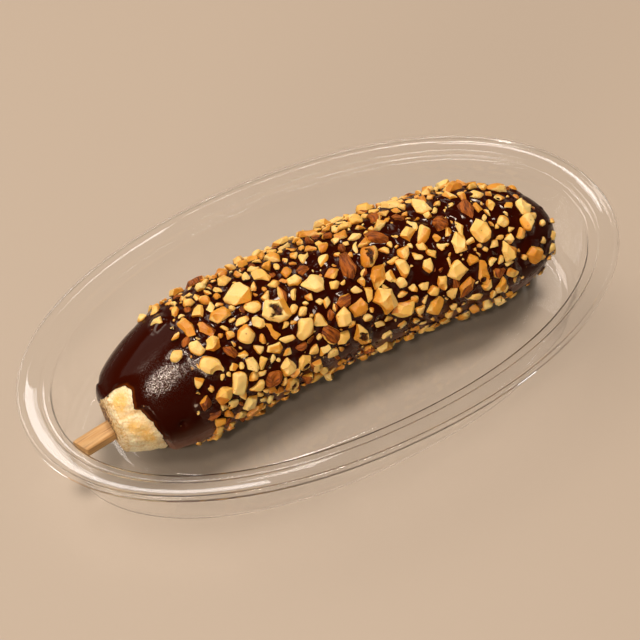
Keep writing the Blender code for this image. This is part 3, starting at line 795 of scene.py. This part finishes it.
def wetting(feet, x_all, angles, full):
    """Return how far the chocolate climbs beside the foot of each nut, and where it is wet."""
    rise = np.zeros_like(x_all)
    wet = np.zeros_like(x_all)
    for nut, foot in feet:
        near_rows = np.nonzero(np.abs(x_all[:, 0] - nut.x) < nut.length * 0.5 + 0.0025)[0]
        if nut.length < SMALLEST_WETTED or len(near_rows) == 0:
            continue
        rows = slice(near_rows[0], near_rows[-1] + 1)
        ahead = x_all[rows] - nut.x
        around = wrapped(angles[rows] - nut.angle) * full[rows]
        u = ahead * math.cos(nut.turn) + around * math.sin(nut.turn)
        w = around * math.cos(nut.turn) - ahead * math.sin(nut.turn)
        away = outline_distance(foot, u, w)
        reach = 0.0019 if nut.length > FINE_NUT else 0.0013
        rise[rows] = np.maximum(rise[rows], 0.46 * reach * (1.0 - smooth(-0.0003, reach, away)))
        wet[rows] = np.maximum(wet[rows], 1.0 - smooth(reach, 1.3 * reach, away))
    for again in range(2):
        rise = 0.5 * rise + 0.25 * (np.roll(rise, 1, axis=1) + np.roll(rise, -1, axis=1))
        rise[1:-1] = 0.5 * rise[1:-1] + 0.25 * (rise[2:] + rise[:-2])
    return rise, wet


def measured(row):
    """Return the nut that a measured row describes, in metres and radians."""
    along, degrees, length, width, turn, kind = row
    return Nut(along / 1000.0, math.radians(degrees), length / 1000.0, width / 1000.0, math.radians(turn))


def outline_distance(foot, u, w):
    """Return the distance outside a nut's foot outline, or a negative number inside it."""
    count = len(foot)
    inside = np.full(u.shape, -1.0)
    nearest = np.full(u.shape, 1.0)
    for index in range(count):
        a, b = foot[index], foot[(index + 1) % count]
        side = b - a
        length = math.hypot(side[0], side[1])
        if length < 1e-9:
            continue
        out = ((u - a[0]) * side[1] - (w - a[1]) * side[0]) / length
        inside = np.maximum(inside, out)
        t = np.clip(((u - a[0]) * side[0] + (w - a[1]) * side[1]) / length ** 2, 0.0, 1.0)
        nearest = np.minimum(nearest, np.hypot(u - a[0] - t * side[0], w - a[1] - t * side[1]))
    return np.where(inside > 0.0, nearest, inside)


# Nuts

def nut_distance(first, second):
    """Return the distance between two nuts as a share of their lengths' sum."""
    reach = coat_radius((first.x + second.x) / 2.0)
    gap = math.hypot(first.x - second.x, wrapped(first.angle - second.angle) * reach)
    return gap / (first.length + second.length)


def solid_nuts():
    """Return the nuts that the solid has, by the same seeded rule."""
    draw = random.Random(NUT_SEED)
    nuts = [measured(row) for row in LARGE_NUTS]
    for attempt in range(NUT_TRIES):
        if len(nuts) >= NUT_LIMIT + len(LARGE_NUTS):
            break
        x = NUT_FIRST_X + (NUT_LAST_X - NUT_FIRST_X) * draw.random()
        angle = 2.0 * math.pi * draw.random()
        length = 0.0055 + 0.0038 * (1.0 - attempt / NUT_TRIES) * draw.random()
        width = length * (0.62 + 0.33 * draw.random())
        nut = Nut(x, angle, length, width, math.pi * draw.random())
        if all(nut_distance(nut, other) > SOLID_SPACING for other in nuts):
            nuts.append(nut)
    return nuts


def on_coat(x, angle):
    """Return a point on the chocolate."""
    return Vector(place(x, angle, coat_radius(x)))


def nut_seat(nut, height):
    """Return a nut's base point on the coat, its three directions and its height."""
    angle = nut.angle
    ahead = (on_coat(nut.x + 0.001, angle) - on_coat(nut.x - 0.001, angle)).normalized()
    around = Vector((0.0, -math.sin(angle), math.cos(angle)))
    out = ahead.cross(around)
    if out.dot(Vector((0.0, math.cos(angle), math.sin(angle)))) < 0.0:
        out = -out
    long_way = ahead * math.cos(nut.turn) + around * math.sin(nut.turn)
    return Seat(on_coat(nut.x, angle), long_way, out.cross(long_way), out, height)


def nut_points(nut, index, seed):
    """Return a nut's corner points and its seat: a chunk as in the solid, or a smaller broken shard."""
    draw = random.Random(seed * 1000 + index)
    chunk = seed in (NUT_SEED, MORE_SEED)
    tallest, taller, turned, least, wider, lifted = CHUNK_RULE if chunk else SHARD_RULE
    height = min(tallest, 0.50 * nut.width) * (0.75 + taller * draw.random())
    seat = nut_seat(nut, height)
    sink = NUT_SINK if chunk else min(NUT_SINK, 0.3 * nut.length)
    points = []
    for share, size, corners in CHUNK_LEVELS if chunk else draw.choice(SHARD_LEVELS):
        level = share * height if share else -sink
        start = 2.0 * math.pi * draw.random()
        for corner in range(corners):
            way = start + 2.0 * math.pi * (corner + turned * draw.random()) / corners
            reach = size * (least + wider * draw.random())
            lift = level + lifted * height * (draw.random() - 0.5) * (level > 0.0)
            point = seat.base + seat.long * (0.5 * nut.length * reach * math.cos(way))
            point += seat.wide * (0.5 * nut.width * reach * math.sin(way)) + seat.out * lift
            points.append(point)
    return points, seat


def plan_nuts():
    """Return every nut with its number, seed and kind: the solid's, further measured ones and small ones."""
    draw = random.Random(NUT_SEED + 1)
    plan = []
    for index, nut in enumerate(solid_nuts()):
        if index < len(LARGE_NUTS):
            plan.append((nut, index, NUT_SEED, LARGE_NUTS[index][5]))
            continue
        kind = pick_kind(draw)
        share = 0.68 + 0.28 * draw.random()
        if nut.x > BARE_TIP_X and draw.random() < 0.75:
            continue
        if index % 4 and bare_band(nut.x, math.degrees(nut.angle)) > 0.5:
            continue
        nut = nut._replace(length=nut.length * share, width=nut.width * share)
        plan.append((nut, index, NUT_SEED, kind))
    for index, row in enumerate(MORE_NUTS):
        nut = measured(row)
        if all(nut_distance(nut, other[0]) > MORE_SPACING for other in plan):
            plan.append((nut, index, MORE_SEED, row[5]))
    for row in SCATTERS:
        plan += scatter(plan, *row)
    return plan


def pick_kind(draw):
    """Return a nut's kind by chance."""
    share = draw.random()
    for kind, limit in (("plain", 0.62), ("gold", 0.84), ("skin", 0.90), ("half", 0.975)):
        if share < limit:
            return kind
    return "core"


def scatter(plan, seed, tries, smallest, largest, spacing):
    """Return smaller nuts that fit between the ones already there."""
    draw = random.Random(seed)
    taken = [(nut.x, nut.angle, (nut.length + nut.width) / 2.0) for nut, index, shape, kind in plan]
    found = []
    for attempt in range(tries):
        x = SCATTER_FIRST_X + SCATTER_REACH * draw.random()
        angle = 2.0 * math.pi * draw.random()
        length = smallest + (largest - smallest) * draw.random() ** 1.6
        width = length * (0.48 + 0.50 * draw.random())
        turn = math.pi * draw.random()
        keep = draw.random()
        kind = pick_kind(draw)
        patch = soft_noise(place(x, angle, coat_radius(x)), 0.011, 41)
        if keep > cover(x, math.degrees(angle)) * smooth(-1.0, -0.35, patch):
            continue
        known = np.array(taken)
        gap = np.hypot(known[:, 0] - x, wrapped(known[:, 1] - angle) * coat_radius(x))
        size = (length + width) / 2.0
        if np.all(gap > spacing * (known[:, 2] + size)):
            nut = Nut(x, angle, length, width, turn)
            found.append((nut, len(found), seed, "plain" if kind == "core" else kind))
            taken.append((x, angle, size))
    return found


def cover(x, degrees):
    """Return how thickly the small nuts lie: few at both ends and low in front."""
    ends = smooth(-0.057, -0.047, x) * (1.0 - 0.75 * smooth(0.074, 0.084, x))
    ends = ends * (1.0 - 0.25 * smooth(0.030, 0.045, x)) * (1.0 - 0.92 * smooth(0.054, 0.068, x))
    low = smooth(185.0, 211.0, degrees) * (1.0 - smooth(255.0, 300.0, degrees))
    front = 1.0 - 0.88 * max(low, bare_band(x, degrees))
    stray = 0.02 if x > -0.060 else 0.0
    return max(ends * front, stray)


def bare_band(x, degrees):
    """Return how bare the chocolate is along the lower front, from 0 to 1."""
    lower = 185.0 - 25.0 * smooth(-0.025, 0.0, x)
    return smooth(lower, lower + 14.0, degrees) * (1.0 - smooth(212.0, 240.0, degrees))


def random_way(draw):
    """Return a random direction."""
    return Vector([draw.gauss(0.0, 1.0) for axis in range(3)]).normalized()


def cut_chunk(points, length, draw, centre):
    """Return a chunk's points, normals and faces: the points' hull, cut across and with worn edges."""
    bm = bmesh.new()
    hull = bmesh.ops.convex_hull(bm, input=[bm.verts.new(point) for point in points])
    inside = [item for item in hull["geom_interior"] if isinstance(item, bmesh.types.BMVert)]
    bmesh.ops.delete(bm, geom=inside, context="VERTS")
    for cut in range(draw.choice((1, 2, 2, 3)) if length > SMALLEST_CUT else 0):
        way = random_way(draw)
        far = max((vert.co - centre).dot(way) for vert in bm.verts)
        sliced = bmesh.ops.bisect_plane(bm, geom=list(bm.verts) + list(bm.edges) + list(bm.faces),
                                        plane_co=centre + way * far * (0.66 + 0.2 * draw.random()),
                                        plane_no=way, clear_outer=True)
        rim = [item for item in sliced["geom_cut"] if isinstance(item, bmesh.types.BMEdge)]
        bmesh.ops.edgeloop_fill(bm, edges=rim)
    bmesh.ops.dissolve_limit(bm, angle_limit=math.radians(17.0), verts=bm.verts, edges=bm.edges)
    if length > SMALLEST_WORN:
        worn = draw.choice((1.0, 1.6, 2.4, 3.6))
        bmesh.ops.bevel(bm, geom=list(bm.edges), offset=worn * min(0.00020, 0.034 * length),
                        segments=2 if length > FINE_NUT else 1,
                        affect="EDGES", profile=0.5, clamp_overlap=True)
    bmesh.ops.triangulate(bm, faces=bm.faces)
    for cell in FINE_CELLS if length > FINE_NUT else COARSE_CELLS:
        long_edges = [edge for edge in bm.edges if edge.calc_length() > cell]
        if length > SMALLEST_WORN and long_edges:
            bmesh.ops.subdivide_edges(bm, edges=long_edges, cuts=1)
            bmesh.ops.triangulate(bm, faces=bm.faces)
    passes = draw.choice((0, 1, 2, 4)) if length > SMALLEST_WORN else 0
    for again in range(passes if length > FINE_NUT else min(passes, 1)):
        bmesh.ops.smooth_vert(bm, verts=bm.verts, factor=0.5, use_axis_x=True, use_axis_y=True,
                              use_axis_z=True)
    bm.normal_update()
    bm.verts.index_update()
    coords = np.array([vert.co[:] for vert in bm.verts])
    normals = np.array([vert.normal[:] for vert in bm.verts])
    faces = np.array([[vert.index for vert in face.verts] for face in bm.faces])
    bm.free()
    return coords, normals, faces


def build_nuts(plan, material):
    """Make the nuts, one joined mesh for each kind, and return them with their feet."""
    groups = {}
    feet = []
    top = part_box("chocolate_coat")[1].z
    for nut, index, seed, kind in plan:
        points, seat = nut_points(nut, index, seed)
        for point in points:
            point.z = min(max(point.z, REST_HEIGHT), top)
        chunk = cut_chunk(points, nut.length, random.Random(seed * 555 + index),
                          seat.base + seat.out * 0.4 * seat.height)
        name, marks, coords = dress(*chunk[:2], nut, kind, random.Random(seed * 777 + index), seat)
        coords[:, 2] = np.clip(coords[:, 2], REST_HEIGHT, top)
        groups.setdefault(name, []).append((coords, chunk[2], marks))
        feet.append((nut, foot_outline(points, seat)))
    made = []
    for name, parts in groups.items():
        coords, faces, marks = zip(*parts)
        starts = np.cumsum([0] + [len(rows) for rows in coords])
        joined = np.concatenate([rows + start for rows, start in zip(faces, starts)])
        item = add_mesh(name, np.concatenate(coords), joined.tolist(), material)
        item.data.set_sharp_from_angle(angle=math.radians(42.0))
        for key, values in zip(NUT_MARKS, np.concatenate(marks).T):
            set_attribute(item, key, values)
        made.append(item)
    return made, feet


def dress(coords, normals, nut, kind, draw, seat):
    """Roughen one nut and mark its toasted, skinned, dark and stained parts; the toast mark also carries
    painted shade on steep sides and low parts.
    """
    length = nut.length
    long_way, wide_way, out = np.array(seat.long), np.array(seat.wide), np.array(seat.out)
    toast_way = random_way(draw)
    skin_way = seat.out * 0.8 + seat.long * draw.gauss(0.0, 0.5) + seat.wide * draw.gauss(0.0, 0.9)
    # How steep each face is, used to paint shade into the toast mark.
    steep = 1.0 - np.clip(normals @ out, 0.0, 1.0)
    shift = TOAST_SHIFTS[kind]
    toast_and_painted_shade = smooth(shift - 0.45, shift + 0.45, normals @ np.array(toast_way) + 0.35 * steep)
    tone = np.full(len(coords), draw.random())
    skin_limit = SKIN_LIMITS.get(kind, 2.0)
    skin = smooth(skin_limit - 0.15, skin_limit + 0.15, normals @ np.array(skin_way.normalized()))
    away = coords - np.array(seat.base)
    lift = away @ out
    along, across = away @ long_way, away @ wide_way
    core = np.zeros(len(coords))
    if kind == "core":
        ragged = soft_noise(coords, 0.0016, 14) * 0.28 + soft_noise(coords, 0.0007, 15) * 0.18
        from_middle = np.hypot(along / (0.5 * length), across / (0.5 * nut.width))
        core = (1.0 - smooth(0.36, 0.56, from_middle + ragged)) * smooth(0.35, 0.7, lift / seat.height)
    stain = 1.0 - smooth(0.00030, 0.0009, lift)
    bend = [soft_noise(coords, max(0.0020, 0.5 * length), 16 + axis) for axis in range(3)]
    coords = coords + np.stack(bend, axis=-1) * 0.075 * length
    rough = soft_noise(coords, 0.0024, 8) * 0.00016 + soft_noise(coords, 0.0008, 9) * 0.00007
    coords = coords + normals * rough[:, None] * min(1.0, length / 0.006)
    if length > SMALLEST_BITTEN and kind != "core":
        coords = scoop(coords, draw, seat, length)
    depth = core * (0.0008 + 0.0005 * soft_noise(coords, 0.0009, 19))
    coords = coords - out * depth[:, None]
    # Painted shade: more golden towards the chocolate and on steep sides.
    toast_and_painted_shade = np.clip(toast_and_painted_shade + 0.50 * (1.0 - smooth(0.0, 0.9, lift / seat.height)) + 0.15 * steep, 0.0, 1.0)
    marks = np.stack([toast_and_painted_shade, skin, tone, core, stain, along, across], axis=1)
    name = {"plain": "nuts_pale", "gold": "nuts_golden", "core": "nuts_cored"}.get(kind, "nuts_skinned")
    if length < SMALLEST_WORN:
        name = "nut_crumbs"
    elif kind == "plain" and length < FINE_NUT:
        name = "nuts_pale_small"
    elif kind == "plain" and length > LARGE_NUT:
        name = "nuts_pale_large"
    return name, marks, coords


def scoop(coords, draw, seat, length):
    """Press hollows into a nut where pieces broke away."""
    for bite in range(draw.choice((0, 0, 1, 1, 2))):
        way = 2.0 * math.pi * draw.random()
        reach = (0.30 + 0.35 * draw.random()) * length
        radius = (0.20 + 0.24 * draw.random()) * length
        lift = seat.height + radius * (0.35 + 0.35 * draw.random())
        centre = seat.base + seat.long * (reach * math.cos(way)) + seat.wide * (0.8 * reach * math.sin(way))
        centre = np.array(centre + seat.out * lift)
        away = coords - centre
        gap = np.linalg.norm(away, axis=1, keepdims=True)
        pressed = centre + away / np.maximum(gap, 1e-6) * radius
        coords = np.where(gap < radius, pressed, coords)
    return coords


def foot_outline(points, seat):
    """Return the convex outline of a nut's foot, anticlockwise, for the chocolate round it."""
    flat = set()
    for point in points[:8]:
        away = point - seat.base
        flat.add((away.dot(seat.long) * 0.93, away.dot(seat.wide) * 0.93))
    ordered = sorted(flat)
    outline = []
    for side in (ordered, ordered[::-1]):
        chain = []
        for point in side:
            while len(chain) > 1:
                a, b = chain[-2:]
                if (b[0] - a[0]) * (point[1] - a[1]) - (b[1] - a[1]) * (point[0] - a[0]) > 0.0:
                    break
                chain.pop()
            chain.append(point)
        outline += chain[:-1]
    return np.array(outline)


# Banana flesh

def build_flesh(material):
    """Make the flesh: fibrous lobes with seams, a torn lower edge and a domed cut face."""
    angle = turns(FLESH_SIDES)
    plain = np.zeros(FLESH_SIDES)
    rings = []
    marks = []
    for step in range(2, FACE_ROWS + 1):
        lean = math.pi / 2.0 * step / FACE_ROWS
        x = np.full(FLESH_SIDES, CUT_X)
        ring = place(x, angle, flesh_radius(x, angle) * math.sin(lean) * FACE_SHARE)
        ring[:, 0] -= FACE_BULGE * math.cos(lean) ** 0.8
        rings.append(ring)
        # Browner towards the face's middle.
        torn_and_painted_shade = 0.62 + 0.55 * (1.0 - smooth(0.20, 0.85, math.sin(lean)))
        # Painted shade: near black right round where the stick goes in.
        gap = np.maximum(np.abs(ring[:, 1] - SLOT_Y) - 0.0030, np.abs(ring[:, 2] - SLOT_Z) - 0.0020)
        torn_and_painted_shade = np.maximum(torn_and_painted_shade, 1.5 * (1.0 - smooth(0.0002, 0.0014, gap)))
        marks.append(np.stack([plain, plain, torn_and_painted_shade], axis=-1))
    for x in (*np.linspace(CUT_X + 0.0002, -0.062, 84), *np.linspace(-0.058, 0.078, 30), *TIP_ROWS):
        x = np.full(FLESH_SIDES, x)
        rings.append(place(x, angle, flesh_radius(x, angle)))
        torn_and_painted_shade = 0.60 * (1.0 - smooth(CUT_X, CUT_X + 0.0012, x))
        marks.append(np.stack([seam_mark(x, angle), spot_mark(x, angle), torn_and_painted_shade], axis=-1))
    rings = np.array(rings)
    marks = np.array(marks)
    x = rings[..., 0]
    out = rings - np.stack(middle(x), axis=-1)
    out /= np.maximum(np.linalg.norm(out, axis=-1, keepdims=True), 1e-6)
    stretched = rings * np.array([0.35, 1.0, 1.0])
    relief = 0.00026 * soft_noise(stretched, 0.0013, 11) + 0.00034 * soft_noise(rings, 0.0034, 12)
    relief += 0.00016 * soft_noise(rings, 0.0006, 13)
    relief -= 0.00060 * marks[..., 0] * (x > CUT_X)
    rings = rings + out * (relief * (x < -0.066))[..., None]
    first_cap = (CUT_X - FACE_BULGE, *middle(CUT_X)[1:])
    item = closed_tube("banana_flesh", rings, first_cap, middle(0.0852), material)
    for column, name in enumerate(("seam", "spot", "torn_and_painted_shade")):
        mark_tube(item, name, marks[..., column], 1.0 if name == "torn_and_painted_shade" else 0.0)
    return item


def seam_mark(x, angle):
    """Return where the seams and the line of the lower strip are brown."""
    mark = 0.0
    for seam, width in SEAM_LINES:
        away = wrapped(np.degrees(angle) - seam - SEAM_DRIFT * (x + 0.078), 360.0)
        mark = mark + np.exp(-(away / width) ** 2)
    return np.clip(mark * 0.55, 0.0, 1.0)


def spot_mark(x, angle):
    """Return where the flesh has soft orange spots."""
    mark = 0.0
    for spot_x, degrees, size in SOFT_SPOTS:
        across = np.radians(wrapped(np.degrees(angle) - degrees, 360.0)) * 0.012
        mark = mark + np.exp(-((x - spot_x) ** 2 + across ** 2) / size ** 2)
    return np.clip(mark, 0.0, 1.0)


# Stick

def build_stick(material):
    """Make the stick: a flat bar with raised grain, soft edges and a split, with shade painted dark along the
    split.
    """
    steps = (0.0, 0.0003, *np.linspace(0.0006, 0.018, 70), *np.linspace(0.020, STICK_LENGTH, 12))
    y, z = rounded(turns(STICK_SIDES), STICK_POWER, STICK_WIDTH / 2.0, STICK_THICKNESS / 2.0).T
    rings = []
    marks = []
    for step in steps:
        shrink = 1.0 - 0.055 * (1.0 - smooth(0.0, 0.0006, step))
        x = step - STICK_SLANT * y * max(0.0, 1.0 - step / 0.012)
        rings.append(np.stack([x, y * shrink, z * shrink], axis=-1))
        # The split: a groove in the shape, and painted shade along it.
        line_y = -STICK_WIDTH * (0.24 - 0.14 * step / 0.0125)
        split_and_painted_shade = np.exp(-((y - line_y) / SPLIT_WIDTH) ** 2) * (z > 0.0) * (1.0 - smooth(0.011, 0.0135, step))
        marks.append(split_and_painted_shade)
    rings = np.array(rings)
    marks = np.array(marks)
    stretched = rings * np.array([0.05, 1.0, 1.0])
    grain = soft_noise(stretched, 0.00045, 21) * 0.00006 + soft_noise(stretched, 0.0016, 22) * 0.00006
    rings[..., 1] += grain
    rings[..., 2] += grain - SPLIT_DEPTH * marks
    seat = np.array(Matrix.Translation(STICK_TIP) @ Matrix.Rotation(STICK_YAW, 4, "Z"))
    rings = rings @ seat[:3, :3].T + seat[:3, 3]
    item = closed_tube("wooden_stick", rings, rings[0].mean(axis=0), rings[-1].mean(axis=0), material)
    mark_tube(item, "split_and_painted_shade", marks)
    item.data.set_sharp_from_angle(angle=math.radians(50.0))
    return item


# Floor, light and camera

def add_light(name, way, distance, size, size_y, power, color):
    """Add a soft area light that shines at the dish from a direction."""
    data = bpy.data.lights.new(name, "AREA")
    data.shape = "RECTANGLE"
    data.size = size
    data.size_y = size_y
    data.energy = power
    data.color = color
    item = bpy.data.objects.new(name, data)
    way = Vector(way).normalized()
    item.location = Vector((0.0, 0.0, 0.02)) + way * distance
    item.rotation_euler = way.to_track_quat("Z", "Y").to_euler()
    bpy.context.scene.collection.objects.link(item)


def build_stage():
    """Add the pale floor, the lights and the surroundings."""
    corner_signs = ((-1.0, -1.0, 0.0), (1.0, -1.0, 0.0), (1.0, 1.0, 0.0), (-1.0, 1.0, 0.0))
    floor = add_mesh("floor", np.array(corner_signs) * FLOOR_REACH, [(0, 1, 2, 3)], floor_material())
    floor.location = (0.0, 0.0, -FLOOR_DROP)
    for row in LIGHTS:
        add_light(*row)
    world = bpy.data.worlds.new("studio")
    world.use_nodes = True
    tree = world.node_tree
    height = add_node(tree, "SeparateXYZ", "Z", {"Vector": add_node(tree, "TexCoord", "Generated")})
    inputs = {"Value": height, "From Min": 0.02, "From Max": 0.42, "To Min": 0.55, "To Max": 0.02}
    fade = add_node(tree, "MapRange", "Result", inputs, interpolation_type="SMOOTHSTEP")
    feed(tree, WORLD_COLOR, tree.nodes["Background"].inputs["Color"])
    feed(tree, fade, tree.nodes["Background"].inputs["Strength"])
    scene = bpy.context.scene
    scene.world = world
    scene.view_settings.view_transform = "Standard"
    scene.view_settings.look = "None"
    scene.cycles.caustics_refractive = False
    scene.cycles.caustics_reflective = False
    scene.cycles.glossy_bounces = 16
    scene.cycles.transmission_bounces = 24
    scene.cycles.max_bounces = 24


def build_camera():
    """Put the camera where the photograph was taken from."""
    level = math.cos(CAMERA_ELEVATION)
    back = Vector((math.sin(CAMERA_AZIMUTH) * level, -math.cos(CAMERA_AZIMUTH) * level,
                   math.sin(CAMERA_ELEVATION)))
    data = bpy.data.cameras.new("camera")
    data.lens = CAMERA_LENS
    data.sensor_width = SENSOR_WIDTH
    data.clip_start = 0.01
    camera = bpy.data.objects.new("camera", data)
    camera.location = CAMERA_TARGET + back * CAMERA_DISTANCE
    camera.rotation_euler = back.to_track_quat("Z", "Y").to_euler()
    bpy.context.scene.collection.objects.link(camera)
    bpy.context.scene.camera = camera


def corners(box):
    """Return a box as plain lists of numbers."""
    return [list(box[0]), list(box[1])]


def main():
    """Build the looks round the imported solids."""
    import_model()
    build_camera()
    dish = build_dish()
    groups, feet = build_nuts(plan_nuts(), nut_material())
    chocolate = chocolate_material()
    coat = build_coat(feet, chocolate)
    wrap = build_wrap(chocolate)
    flesh = build_flesh(flesh_material())
    stick = build_stick(wood_material())
    pieces = [(dish, "dish", "clear_plastic"), (coat, "chocolate_coat", "chocolate"),
              (wrap, "chocolate_coat", "chocolate"), (flesh, "banana", "banana_flesh"),
              (stick, "stick", "stick_wood")]
    pieces += [(item, "chocolate_coat", "chocolate") for item in groups]
    for item, node, slot in pieces:
        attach(item, "root")
        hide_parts(node)
    build_stage()


main()
